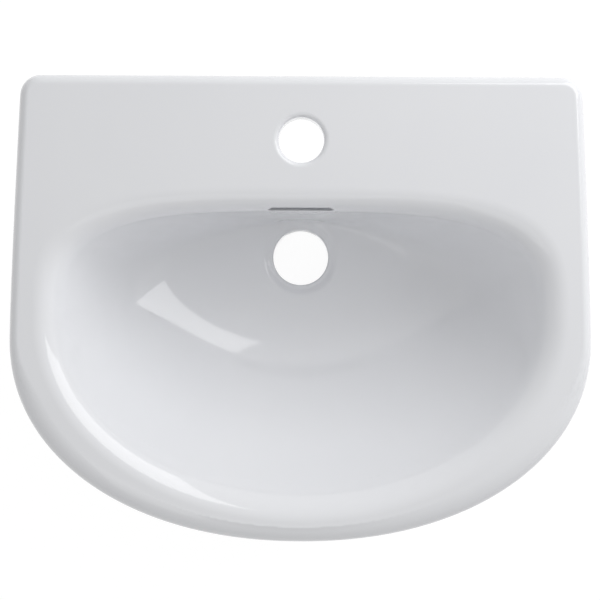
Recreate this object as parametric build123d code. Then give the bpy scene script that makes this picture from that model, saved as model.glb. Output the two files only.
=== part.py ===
from build123d import *
from math import atan2, cos, hypot, pi, radians, sin, sqrt
import os

# Semi-countertop basin. Millimetres, +Z up. The origin lies on the axis of the tap hole,
# in the plane of the worktop; +Y points to the wall, -Y to the user, +X to the user's right.

# Plan of the rim
widest_half_width = 225.0
back_half_width = 217.0
tap_to_back = 50.0
tap_to_widest = 154.0
tap_to_front = 310.0
back_corner_radius = 16.0
front_roundness = 2.12
side_bow = 1.25
front_spline_steps = 14

# Rim section
seal_thickness = 2.0
rim_height = 18.0
rim_edge_drop = 12.0
side_edge_roll = 8.0
front_edge_roll = 22.0
front_roll_run = 60.0
seat_width = 20.0
deck_thickness = 11.0
root_overlap = 1.0
pocket_corner_radius = 5.0

# Bowl, as level contours from the waste up to the deck
bowl_depth = 116.0
bowl_wall = 10.0
mouth_half_width = 186.0
mouth_back = -54.0
mouth_front = -272.0
mouth_centre = -140.0
floor_half_width = 34.0
floor_back = -63.0
floor_front = -122.0
floor_centre = -92.0
lip_drop = 18.0
lip_side = 20.0
lip_back = 23.0
lip_front = 15.0
mouth_back_roundness = 3.5
round_contour = 2.0
side_steepness = 0.30
front_steepness = 0.55
centre_shift = 0.50
contour_points = 40

# Holes
tap_hole_radius = 17.5
tap_hole_edge = 4.0
tap_boss_wall = 9.0
tap_boss_drop = 4.0
waste_y = -88.0
waste_hole_radius = 22.75
waste_recess_radius = 33.5
waste_recess_depth = 4.0
waste_recess_throat = 2.0
waste_recess_rise = 1.0
waste_boss_wall = 12.0
basin_underside = 135.0

# Overflow
slot_width = 50.0
slot_height = 9.0
slot_below_deck = 13.5
duct_web = 11.0
duct_depth = 12.0
duct_wall = 8.0
duct_corner = 7.0
duct_port_width = 24.0
duct_port_height = 10.0
duct_port_roof = 14.0
duct_roof_rise = 2.5

# Apron that hides the front edge of the worktop
worktop_front = 150.0
apron_height = 47.0
apron_wall = 10.0
apron_step = 3.0
apron_draft = 3.0
apron_edge_roll = 5.0
shoulder_wall = 10.0
shoulder_relief = 4.0
shoulder_inner_x = 192.0

# Foam seal
seal_width = 12.0
seal_edge_gap = 4.0
seal_end_gap = 4.0

# Clamps under the worktop
worktop_thickness = 28.0
clamp_bite = 10.0
clamp_reach = 38.0
side_clamp_y = -15.0
rear_clamp_x = 95.0
lug_radius = 13.0
lug_drop = 20.0
plug_radius = 6.0
plug_length = 23.0
plug_collar_radius = 8.5
plug_collar = 1.5
plug_slit = 1.2
plug_slit_start = 6.0
plug_fit = 0.05
plug_end_gap = 1.0
stud_radius = 3.0
stud_length = 80.0
stud_in_plug = 20.0
stud_chamfer = 0.8
thread_clearance = 0.05
washer_radius = 9.0
washer_thickness = 1.6
washer_clearance = 0.3
arm_width = 16.0
arm_thickness = 2.5
arm_bend_radius = 2.0
arm_hole_clearance = 0.3
arm_heel_radius = 8.0
arm_drop = 10.0
arm_rib_width = 4.0
arm_rib_height = 1.2
arm_rib_margin = 5.0
pad_cover = 2.0
pad_skirt = 6.0
nut_height = 7.0
nut_base_radius = 6.5
nut_tip_radius = 5.2
wing_span = 15.5
wing_length = 11.0
wing_height = 12.0
wing_rise = 8.5
wing_thickness = 2.6
wing_root_gap = 1.0

# Heights that follow
deck_top = seal_thickness + rim_height
deck_underside = deck_top - deck_thickness
floor_z = deck_top - bowl_depth
apron_bottom = seal_thickness - apron_height
duct_front = mouth_back + duct_web
duct_back = duct_front + duct_depth
clamp_from_seat = seat_width + clamp_reach - clamp_bite


def side_half_width(y):
    """Half the width of the rim at a place on its side, which bows in a little towards the back."""
    share = (y + tap_to_widest) / (tap_to_back + tap_to_widest)
    return widest_half_width - (widest_half_width - back_half_width) * share**side_bow


def side_lean(y):
    """Angle in radians between the side of the rim and the Y axis at a place on it."""
    run = tap_to_back + tap_to_widest
    share = (y + tap_to_widest) / run
    return atan2((widest_half_width - back_half_width) * side_bow * share ** (side_bow - 1.0), run)


def edge_roll(y):
    """Width of the rounding at the rim's outer edge, which grows round the front."""
    share = min(max((-tap_to_widest - y) / front_roll_run, 0.0), 1.0)
    eased = share * share * (3.0 - 2.0 * share)
    return side_edge_roll + (front_edge_roll - side_edge_roll) * eased


def front_point(turn, inset_at):
    """A point of the superellipse round the front, moved inward by inset_at(y). Turn 0 is the right side."""
    depth = tap_to_front - tap_to_widest
    reach = 2.0 / front_roundness
    x = widest_half_width * abs(cos(turn)) ** reach * (1.0 if cos(turn) >= 0.0 else -1.0)
    drop = depth * abs(sin(turn)) ** reach
    slope_x = abs(x / widest_half_width) ** (front_roundness - 1.0) / widest_half_width
    slope_x = slope_x if x >= 0.0 else -slope_x
    slope_y = (drop / depth) ** (front_roundness - 1.0) / depth
    size = hypot(slope_x, slope_y)
    y = -tap_to_widest - drop
    inset = inset_at(y)
    return (x - inset * slope_x / size, y + inset * slope_y / size)


def rim_outline(inset_at, z, least_corner=1.0):
    """The D-shaped outline of the rim at height z, moved inward by inset_at(y)."""
    inset = inset_at(tap_to_back)
    corner = max(back_corner_radius - inset, least_corner)
    centre_y = tap_to_back - inset - corner
    lean = side_lean(centre_y)
    centre_x = side_half_width(centre_y) - (inset + corner) / cos(lean)
    back = (centre_x, tap_to_back - inset)
    middle_angle = (pi / 2.0 + lean) / 2.0
    middle = (centre_x + corner * cos(middle_angle), centre_y + corner * sin(middle_angle))
    side = (centre_x + corner * cos(lean), centre_y + corner * sin(lean))
    turns = [pi * step / front_spline_steps for step in range(1, front_spline_steps)]
    front = [front_point(turn, inset_at) for turn in turns]
    flank = []
    for share in (0.6, 0.3, 0.1, 0.0):
        y = share * (side[1] + tap_to_widest) - tap_to_widest
        flank.append((side_half_width(y) - inset / cos(side_lean(y)), y))
    mirrored = [(-x, y) for x, y in reversed(flank)]
    start, end = side, (-side[0], side[1])
    sweep_down = (sin(lean), -cos(lean))
    edges = [
        Line((-back[0], back[1]), back),
        ThreePointArc(back, middle, side),
        Spline(start, *flank, *front, *mirrored, end, tangents=[sweep_down, (sin(lean), cos(lean))]),
        ThreePointArc(end, (-middle[0], middle[1]), (-back[0], back[1])),
    ]
    return Pos(0.0, 0.0, z) * make_face(Curve() + edges)


def bowl_contour(level, grow, lip, z):
    """A level contour of the bowl: level 0 is the floor, 1 the deck; lip 0 to 1 flares it into the deck."""
    half_width = floor_half_width + (mouth_half_width - floor_half_width) * level**side_steepness
    half_width += grow + lip_side * lip
    centre = floor_centre + (mouth_centre - floor_centre) * level**centre_shift
    back = floor_back + (mouth_back - floor_back) * level + grow + lip_back * lip - centre
    front_edge = floor_front + (mouth_front - floor_front) * level**front_steepness
    front = centre - front_edge + grow + lip_front * lip
    back_roundness = round_contour + (mouth_back_roundness - round_contour) * level
    points = []
    for step in range(contour_points):
        turn = 2.0 * pi * step / contour_points
        depth, power = (back, back_roundness) if sin(turn) >= 0.0 else (front, round_contour)
        radius = abs(cos(turn) / half_width) ** power + abs(sin(turn) / depth) ** power
        radius = radius ** (-1.0 / power)
        points.append((radius * cos(turn), centre + radius * sin(turn)))
    return Pos(0.0, 0.0, z) * make_face(Spline(*points, periodic=True))


def rim_slab():
    """The rim and tap deck: flat top, rounded outer edge, and a pocket that leaves a seat all round."""
    rings = [rim_outline(lambda y: 0.0, seal_thickness)]
    for turn in (0.0, 30.0, 55.0, 75.0, 90.0):
        share = 1.0 - cos(radians(turn))
        height = deck_top - rim_edge_drop * (1.0 - sin(radians(turn)))
        rings.append(rim_outline(lambda y: edge_roll(y) * share, height))
    slab = loft(rings[:2], ruled=True) + loft(rings[1:])
    pocket_face = rim_outline(lambda y: seat_width, seal_thickness, pocket_corner_radius)
    return slab - extrude(pocket_face, amount=deck_underside - seal_thickness)


def bowl_shell():
    """The outside of the bowl, a wall's thickness outside the hollow."""
    sections = []
    for level in (0.0, 0.02, 0.06, 0.14, 0.28, 0.46, 0.66, 0.86):
        height = floor_z + (deck_top - floor_z) * level - bowl_wall * (1.0 - level)
        sections.append(bowl_contour(level, bowl_wall, 0.0, height))
    rim_ring = bowl_contour(1.0, bowl_wall, 0.0, deck_underside + deck_thickness / 2.0)
    return loft(sections + [rim_ring])


def bowl_hollow():
    """The hollow of the bowl, from its floor up to the lip that rolls into the deck."""
    sections = []
    for level in (0.0, 0.012, 0.04, 0.09, 0.17, 0.28, 0.42, 0.57, 0.71):
        sections.append(bowl_contour(level, 0.0, 0.0, floor_z + bowl_depth * level))
    for turn in (0.0, 25.0, 45.0, 62.0, 77.0, 90.0):
        lip = 1.0 - cos(radians(turn))
        height = deck_top - lip_drop * (1.0 - sin(radians(turn)))
        level = (height - floor_z) / bowl_depth
        sections.append(bowl_contour(level, 0.0, lip, height))
    return loft(sections)


def apron_block():
    """The solid D that the apron and its shoulders are cut from."""
    top = rim_outline(lambda y: apron_step, seal_thickness)
    rounding = []
    for turn in (0.0, 35.0, 65.0, 90.0):
        inward = apron_step + apron_draft + apron_edge_roll * (1.0 - cos(radians(turn)))
        height = apron_bottom + apron_edge_roll * (1.0 - sin(radians(turn)))
        rounding.append(rim_outline(lambda y: inward, height))
    return loft([top, rounding[0]], ruled=True) + loft(rounding)


def front_space(start_y, depth, half_width=2.0 * widest_half_width):
    """A box that runs forward from start_y, past the basin's sides and past the apron's foot and top."""
    height = deck_underside - apron_bottom + 2.0 * apron_wall
    middle_z = (deck_underside + apron_bottom) / 2.0
    return Pos(0.0, start_y - depth / 2.0, middle_z) * Box(2.0 * half_width, depth, height)


def apron():
    """The downstand round the front, with a web at each end whose rear face is the shoulder.

    Beside the bowl the web stands back, so that the worktop's edge meets the flat land only.
    """
    block = apron_block() & front_space(-worktop_front, tap_to_front)
    inner = apron_step + apron_draft + apron_wall
    inner_face = rim_outline(lambda y: inner, apron_bottom)
    inside = extrude(inner_face, amount=apron_height + deck_thickness)
    inside = inside & front_space(-worktop_front - shoulder_wall, tap_to_front)
    relief = front_space(-worktop_front, shoulder_relief, shoulder_inner_x)
    web_rise = deck_underside - seal_thickness + 2.0 * root_overlap
    web_top = extrude(Pos(0.0, 0.0, apron_height - root_overlap) * inner_face, amount=web_rise)
    web_top = web_top & front_space(-worktop_front - shoulder_relief, shoulder_wall - shoulder_relief)
    return block - inside - relief + web_top


def overflow_casing():
    """The closed channel on the back of the bowl, wide at the slot and narrow at the waste."""
    top_width = slot_width + 2.0 * duct_wall
    foot_width = duct_port_width + 2.0 * duct_wall
    depth = duct_web + duct_depth + duct_wall
    middle_y = mouth_back + depth / 2.0
    top = Pos(0.0, middle_y, deck_underside + root_overlap) * RectangleRounded(top_width, depth, duct_corner)
    foot_z = floor_z - duct_port_roof - duct_port_height - duct_wall
    foot = Pos(0.0, middle_y, foot_z) * RectangleRounded(foot_width, depth, duct_corner)
    return loft([top, foot])


def overflow_channel():
    """The way of the water: slot, drop behind the bowl, and port into the side of the waste hole."""
    slot_z = deck_top - slot_below_deck
    roof_z = slot_z + slot_height / 2.0 + duct_roof_rise
    port_foot = floor_z - duct_port_roof - duct_port_height
    middle_y = (duct_front + duct_back) / 2.0
    top = Pos(0.0, middle_y, roof_z) * Rectangle(slot_width, duct_depth)
    foot = Pos(0.0, middle_y, port_foot) * Rectangle(duct_port_width, duct_depth)
    drop = loft([top, foot])
    slot_face = Plane((0.0, middle_y, slot_z), x_dir=(1, 0, 0), z_dir=(0, -1, 0))
    slot = extrude(slot_face * SlotOverall(slot_width, slot_height), amount=middle_y - floor_back)
    port_length = middle_y - waste_y
    port = Pos(0.0, middle_y - port_length / 2.0, port_foot + duct_port_height / 2.0)
    port = port * Box(duct_port_width, port_length, duct_port_height)
    return drop + slot + port


def tap_hole():
    """The tap hole with its rounded glazed edge."""
    half_length = deck_top + tap_boss_drop + deck_thickness
    hole = Pos(0.0, 0.0, deck_top) * Cylinder(tap_hole_radius, 2.0 * half_length)
    rounding = Pos(0.0, 0.0, deck_top - tap_hole_edge / 2.0)
    rounding = rounding * Cylinder(tap_hole_radius + tap_hole_edge, tap_hole_edge)
    bead = Pos(0.0, 0.0, deck_top - tap_hole_edge) * Torus(tap_hole_radius + tap_hole_edge, tap_hole_edge)
    return hole + (rounding - bead)


def waste_hole():
    """The waste hole, with the dished recess that its flange would sit in."""
    recess_z = floor_z + waste_recess_rise
    throat = waste_hole_radius + waste_recess_throat
    profile = Polyline(
        (0.0, recess_z + waste_recess_depth),
        (waste_recess_radius, recess_z + waste_recess_depth),
        (waste_recess_radius, recess_z),
        (throat, recess_z - waste_recess_depth),
        (waste_hole_radius, recess_z - waste_recess_depth - waste_recess_throat),
        (waste_hole_radius, -basin_underside - bowl_wall),
        (0.0, -basin_underside - bowl_wall),
        close=True,
    )
    turned = revolve(Plane.XZ * make_face(profile), axis=Axis.Z)
    return Pos(0.0, waste_y, 0.0) * turned


def clamp_places():
    """The four studs: name, x, y and the direction in degrees that the arm points in at rest."""
    side_x = side_half_width(side_clamp_y) - clamp_from_seat
    rear_y = tap_to_back - clamp_from_seat
    return [
        ("left", -side_x, side_clamp_y, 180.0),
        ("rear_left", -rear_clamp_x, rear_y, 90.0),
        ("rear_right", rear_clamp_x, rear_y, 90.0),
        ("right", side_x, side_clamp_y, 0.0),
    ]


def lugs():
    """The four bosses under the deck that hold the fixing plugs, and their blind holes."""
    bosses, holes = [], []
    height = deck_underside + lug_drop + root_overlap
    depth = plug_length + plug_end_gap
    for _, x, y, _ in clamp_places():
        bosses.append(Pos(x, y, -lug_drop + height / 2.0) * Cylinder(lug_radius, height))
        holes.append(Pos(x, y, -lug_drop + depth / 2.0) * Cylinder(plug_radius, depth))
    return bosses, holes


def tap_boss():
    """The thickening under the deck that the tap is tightened against."""
    height = deck_underside + tap_boss_drop + root_overlap
    boss = Cylinder(tap_hole_radius + tap_boss_wall, height)
    return Pos(0.0, 0.0, -tap_boss_drop + height / 2.0) * boss


def waste_boss():
    """The thick ring round the waste hole, with a flat underside."""
    height = basin_underside + floor_z
    boss = Cylinder(waste_hole_radius + waste_boss_wall, height)
    return Pos(0.0, waste_y, -basin_underside + height / 2.0) * boss


def basin_body():
    """The one-piece fired casting."""
    bosses, blind_holes = lugs()
    body = rim_slab() + bowl_shell() + apron() + overflow_casing()
    body = body + tap_boss() + waste_boss() + bosses
    body = body - bowl_hollow() - overflow_channel() - tap_hole() - waste_hole()
    return body - blind_holes


def rim_seal():
    """The foam strip between the seat and the worktop, open at the front."""
    outer = rim_outline(lambda y: seal_edge_gap, 0.0)
    inner = rim_outline(lambda y: seal_edge_gap + seal_width, 0.0)
    strip = extrude(outer - inner, amount=seal_thickness)
    return strip - front_space(-worktop_front + seal_end_gap, tap_to_front)


def fixing_plug():
    """Nylon expanding plug on its own axis, with the lug's face at height 0."""
    plug = Pos(0.0, 0.0, plug_length / 2.0) * Cylinder(plug_radius - plug_fit, plug_length)
    plug = plug + Pos(0.0, 0.0, -plug_collar / 2.0) * Cylinder(plug_collar_radius, plug_collar)
    bore_depth = stud_in_plug + plug_collar
    bore = Cylinder(stud_radius + thread_clearance, bore_depth)
    slit_height = plug_length - plug_slit_start
    slit = Box(4.0 * plug_radius, plug_slit, slit_height)
    slit = Pos(0.0, 0.0, plug_slit_start + slit_height / 2.0) * (slit + Rot(0, 0, 90) * slit)
    return plug - Pos(0.0, 0.0, stud_in_plug - bore_depth / 2.0) * bore - slit


def stud():
    """Threaded stud on its own axis, with its top at height 0; the thread is its plain outer cylinder."""
    rod = Pos(0.0, 0.0, -stud_length / 2.0) * Cylinder(stud_radius, stud_length)
    return chamfer(rod.edges().filter_by(GeomType.CIRCLE), stud_chamfer)


def washer():
    """Plain washer on its own axis, with its top face at height 0."""
    hole_radius = stud_radius + washer_clearance
    ring = Circle(washer_radius) - Circle(hole_radius)
    return extrude(ring, amount=-washer_thickness)


def clamp_arm():
    """Pressed steel arm along +X with its underside at height 0, the stud hole at the origin."""
    half_plate = arm_thickness / 2.0
    outer = arm_thickness + arm_bend_radius
    end_x = clamp_reach + half_plate
    top_z = arm_thickness + arm_drop
    side = Polyline((0.0, 0.0), (end_x, 0.0), (end_x, top_z))
    inner = Polyline((end_x - arm_thickness, top_z), (end_x - arm_thickness, arm_thickness), (0.0, arm_thickness))
    profile = make_face(Curve() + [side, Line(side @ 1, inner @ 0), inner, Line(inner @ 1, side @ 0)])
    bend = profile.vertices().sort_by_distance((end_x, 0.0))[0]
    profile = fillet(bend, outer)
    throat = profile.vertices().sort_by_distance((end_x - arm_thickness, arm_thickness))[0]
    profile = fillet(throat, arm_bend_radius)
    strip = extrude(Plane.XZ * profile, amount=arm_width / 2.0, both=True)
    heel = extrude(Circle(arm_heel_radius), amount=arm_thickness)
    rib_start = arm_heel_radius + arm_rib_margin / 2.0
    rib_end = clamp_reach - outer - arm_rib_margin
    rib_length = rib_end - rib_start + arm_rib_width
    rib = Pos((rib_start + rib_end) / 2.0, 0.0, 0.0) * SlotOverall(rib_length, arm_rib_width)
    ridge = Pos(0.0, 0.0, arm_thickness) * extrude(rib, amount=arm_rib_height)
    hole = Cylinder(stud_radius + arm_hole_clearance, 4.0 * arm_thickness)
    return strip + heel + ridge - extrude(rib, amount=arm_rib_height) - hole


def clamp_pad():
    """Rubber cap over the arm's upturned end, in the arm's own frame."""
    top_z = arm_thickness + arm_drop
    cap_width = arm_thickness + 2.0 * pad_cover
    cap = Pos(clamp_reach, 0.0, top_z + (pad_cover - pad_skirt) / 2.0)
    cap = cap * Box(cap_width, arm_width + 2.0 * pad_cover, pad_cover + pad_skirt)
    steel = Pos(clamp_reach, 0.0, top_z - pad_skirt / 2.0)
    return cap - steel * Box(arm_thickness, arm_width, pad_skirt)


def wing_nut():
    """Wing nut on its own axis, with its seat at height 0 and its wings hanging down and out."""
    hub = Pos(0.0, 0.0, -nut_height / 2.0) * Cone(nut_tip_radius, nut_base_radius, nut_height)
    wing_middle = wing_span - wing_length / 2.0
    wing = Pos(wing_middle, 0.0, -wing_rise) * extrude(
        Plane.XZ * Ellipse(wing_length / 2.0, wing_height / 2.0), amount=wing_thickness / 2.0, both=True
    )
    root_height = nut_height - wing_root_gap
    root = Pos(wing_middle / 2.0, 0.0, -nut_height / 2.0) * Box(wing_middle, wing_thickness, root_height)
    half = wing + root
    thread = Pos(0.0, 0.0, -nut_height / 2.0) * Cylinder(stud_radius + thread_clearance, 2.0 * nut_height)
    swing = Pos(0.0, 0.0, -nut_height - wing_height) * Cylinder(nut_tip_radius, 2.0 * wing_height)
    return hub + (half + Rot(0, 0, 180) * half - swing) - thread


def clamp_nodes():
    """The six pieces of each of the four clamps, by node name."""
    nodes = {}
    arm_z = -worktop_thickness - pad_cover - arm_drop - arm_thickness
    for name, x, y, heading in clamp_places():
        nodes["fixing_plug_" + name] = Pos(x, y, -lug_drop) * fixing_plug()
        nodes["stud_" + name] = Pos(x, y, stud_in_plug - lug_drop) * stud()
        place = Pos(x, y, arm_z) * Rot(0, 0, heading)
        nodes["clamp_arm_" + name] = place * clamp_arm()
        nodes["clamp_pad_" + name] = place * clamp_pad()
        nodes["washer_" + name] = place * washer()
        nodes["wing_nut_" + name] = Pos(x, y, arm_z - washer_thickness) * wing_nut()
    return nodes


def main():
    """Writes one STEP file for each piece."""
    os.makedirs("parts", exist_ok=True)
    nodes = {"basin_body": basin_body(), "rim_seal": rim_seal()}
    nodes.update(clamp_nodes())
    for name, shape in nodes.items():
        export_step(shape, "parts/" + name + ".step")


main()
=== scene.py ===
"""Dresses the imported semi-countertop basin: glazed casting, worktop seal and four clamps.

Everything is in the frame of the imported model: metres, +Z up, the tap hole's axis at the origin,
+Y towards the wall. The sizes of the casting are written in millimetres and scaled once, when a
mesh is made.
"""

import logging
import math
from dataclasses import dataclass, field
from enum import Enum
from itertools import product
from typing import Any, Callable, Sequence

import bpy
import numpy as np
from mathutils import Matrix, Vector


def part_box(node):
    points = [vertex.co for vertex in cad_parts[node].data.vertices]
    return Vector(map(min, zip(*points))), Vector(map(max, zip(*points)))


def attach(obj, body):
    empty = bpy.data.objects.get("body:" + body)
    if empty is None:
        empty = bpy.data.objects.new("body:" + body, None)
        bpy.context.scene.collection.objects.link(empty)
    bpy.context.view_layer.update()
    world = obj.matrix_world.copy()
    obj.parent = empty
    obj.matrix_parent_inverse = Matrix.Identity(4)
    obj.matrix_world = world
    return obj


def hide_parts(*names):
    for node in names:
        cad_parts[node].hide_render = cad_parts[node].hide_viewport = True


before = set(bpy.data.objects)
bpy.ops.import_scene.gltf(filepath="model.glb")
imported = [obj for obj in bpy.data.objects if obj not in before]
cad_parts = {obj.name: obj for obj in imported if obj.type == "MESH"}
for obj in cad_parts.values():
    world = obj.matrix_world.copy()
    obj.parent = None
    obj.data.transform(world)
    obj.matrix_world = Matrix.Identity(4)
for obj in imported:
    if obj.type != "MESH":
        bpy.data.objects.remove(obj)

LOG = logging.getLogger("basin")
MM = 0.001
TINY = 1e-6
WHITE = (1.0, 1.0, 1.0)
BLACK = (0.0, 0.0, 0.0)
Array = np.ndarray
Pair = tuple[float, float]
Triple = tuple[float, float, float]
Colour = Triple
SIDES = ("left", "rear_left", "rear_right", "right")


# Shader arithmetic


class Graph:
    """A node tree, with one way to add a node and arithmetic on its numbers."""

    def __init__(self, owner: bpy.types.ID) -> None:
        """Empties the node tree of a material or a world."""
        owner.use_nodes = True
        self.owner = owner
        self.tree = owner.node_tree
        self.tree.nodes.clear()

    @classmethod
    def of_material(cls, name: str) -> "Graph":
        """The graph of a new material called name."""
        return cls(bpy.data.materials.new(name))

    def node(
        self, kind: str, settings: dict[str, Any] | None = None, **inputs: Any
    ) -> bpy.types.Node:
        """Adds a node.

        Args:
            kind: The node's type, without the ShaderNode prefix.
            settings: Its properties, which are set first.
            inputs: Values or links for its sockets, by name with spaces as underscores, or by
                number as i0, i1 and so on.

        Returns:
            The new node.
        """
        made = self.tree.nodes.new("ShaderNode" + kind)
        for key, value in (settings or {}).items():
            setattr(made, key, value)
        for key, value in inputs.items():
            numbered = key[0] == "i" and key[1:].isdigit()
            self.feed(made.inputs[int(key[1:]) if numbered else key.replace("_", " ")], value)
        return made

    def out(self, kind: str, **inputs: Any) -> bpy.types.NodeSocket:
        """Adds a node and gives its first output."""
        return self.node(kind, None, **inputs).outputs[0]

    def feed(self, place: bpy.types.NodeSocket, value: Any) -> None:
        """Links a value to a socket, or sets it there if it is plain."""
        if isinstance(value, Number):
            self.tree.links.new(value.socket, place)
        elif isinstance(value, bpy.types.NodeSocket):
            self.tree.links.new(value, place)
        elif isinstance(value, (tuple, list)) and len(value) == 3 and place.type == "RGBA":
            place.default_value = (*value, 1.0)
        else:
            place.default_value = value

    def number(self, socket: bpy.types.NodeSocket) -> "Number":
        """Wraps a socket so that it can be used in arithmetic."""
        return Number(self, socket)

    def place(self) -> bpy.types.NodeSocket:
        """The object coordinates, in metres."""
        return self.node("TexCoord").outputs["Object"]

    def noise(
        self, cells: float, detail: float = 2.0, stretch: Triple = (1.0, 1.0, 1.0)
    ) -> "Number":
        """Noise on object coordinates, from about 0.3 to 0.7, with so many cells a metre."""
        mapped = self.out("Mapping", Vector=self.place(), Scale=stretch)
        made = self.node("TexNoise", None, Vector=mapped, Scale=cells, Detail=detail)
        return self.number(made.outputs["Fac"])

    def blend(self, share: Any, first: Any, second: Any) -> bpy.types.NodeSocket:
        """Mixes two colours by a share from 0 to 1."""
        made = self.node("Mix", {"data_type": "RGBA"})
        self.feed(made.inputs[0], share)
        self.feed(made.inputs[6], first)
        self.feed(made.inputs[7], second)
        return made.outputs[2]

    def bump(self, height: Any, distance: float, strength: float = 1.0) -> bpy.types.NodeSocket:
        """A normal from a height, with distance in metres for a height of 1."""
        return self.out("Bump", Height=height, Distance=distance, Strength=strength)

    def finish(self, **inputs: Any) -> bpy.types.Material:
        """Adds the surface shader with these inputs and returns the material."""
        self.node("OutputMaterial", None, Surface=self.out("BsdfPrincipled", **inputs))
        return self.owner


class Number:
    """A number that varies over a surface. Arithmetic on it adds Math nodes."""

    def __init__(self, graph: Graph, socket: bpy.types.NodeSocket) -> None:
        """Wraps one output socket of graph."""
        self.graph = graph
        self.socket = socket

    def _with(
        self, operation: str, first: Any, second: Any = 0.0, clamp: bool = False
    ) -> "Number":
        """Adds one Math node."""
        settings = {"operation": operation, "use_clamp": clamp}
        made = self.graph.node("Math", settings, i0=first, i1=second)
        return Number(self.graph, made.outputs[0])

    def __add__(self, other: Any) -> "Number":
        """self + other."""
        return self._with("ADD", self, other)

    __radd__ = __add__

    def __sub__(self, other: Any) -> "Number":
        """self - other."""
        return self._with("SUBTRACT", self, other)

    def __rsub__(self, other: Any) -> "Number":
        """other - self."""
        return self._with("SUBTRACT", other, self)

    def __mul__(self, other: Any) -> "Number":
        """self * other."""
        return self._with("MULTIPLY", self, other)

    __rmul__ = __mul__

    def clamped(self) -> "Number":
        """self held between 0 and 1."""
        return self._with("ADD", self, 0.0, clamp=True)


# Forms as signed distances, in millimetres, negative inside


def soft_union(first: Array, second: Array, width: float) -> Array:
    """The smaller of two distances, eased into a fillet where they differ by less than width."""
    share = np.clip(0.5 + 0.5 * (second - first) / width, 0.0, 1.0)
    return second + (first - second) * share - width * share * (1.0 - share)


def soft_meet(first: Array, second: Array, width: float) -> Array:
    """The larger of two distances, eased where they differ by less than width."""
    return -soft_union(-first, -second, width)


def soft_cut(first: Array, second: Array, width: float) -> Array:
    """The first form without the second, with the edge between them rounded."""
    return soft_meet(first, -second, width)


def rounded_corner(
    first: Array, second: Array, first_radius: Any, second_radius: Any, power: float = 2.0
) -> Array:
    """The overlap of two half spaces whose edge is a quarter of a superellipse.

    Args:
        first: Distance to the first face.
        second: Distance to the second face.
        first_radius: Depth of the rounding along the first distance.
        second_radius: Depth of the rounding along the second distance.
        power: 2 for an ellipse; more eases the ends of the rounding and tightens its middle.

    Returns:
        The form's value divided by the length of its slope, so about millimetres.
    """
    a = first / first_radius + 1.0
    b = second / second_radius + 1.0
    up = np.maximum(a, 0.0)
    out = np.maximum(b, 0.0)
    size = (up**power + out**power) ** (1.0 / power) + TINY
    value = size + np.minimum(np.maximum(a, b), 0.0) - 1.0
    rise = (up / size) ** (power - 1.0) / first_radius
    run = (out / size) ** (power - 1.0) / second_radius
    return value / np.maximum(np.hypot(rise, run), 1.0 / np.maximum(first_radius, second_radius))


def smooth_step(share: Array) -> Array:
    """Eases 0 to 1."""
    held = np.clip(share, 0.0, 1.0)
    return held * held * (3.0 - 2.0 * held)


def box_distance(
    x: Array, y: Array, z: Array, low: Sequence[Any], high: Sequence[Any], round_by: float
) -> Array:
    """Distance to a box with rounded edges, from its lowest to its highest corner."""
    away = [
        np.abs(v - (a + b) / 2.0) - (b - a) / 2.0 + round_by
        for v, a, b in zip((x, y, z), low, high)
    ]
    outside = np.sqrt(sum(np.maximum(v, 0.0) ** 2 for v in away))
    inside = np.minimum(np.maximum(np.maximum(away[0], away[1]), away[2]), 0.0)
    return outside + inside - round_by


def post_distance(
    x: Array, y: Array, z: Array, at: Pair, radius: float, low: float, high: float
) -> Array:
    """Distance to an upright cylinder."""
    side = np.hypot(x - at[0], y - at[1]) - radius
    return np.maximum(side, np.abs(z - (low + high) / 2.0) - (high - low) / 2.0)


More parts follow.
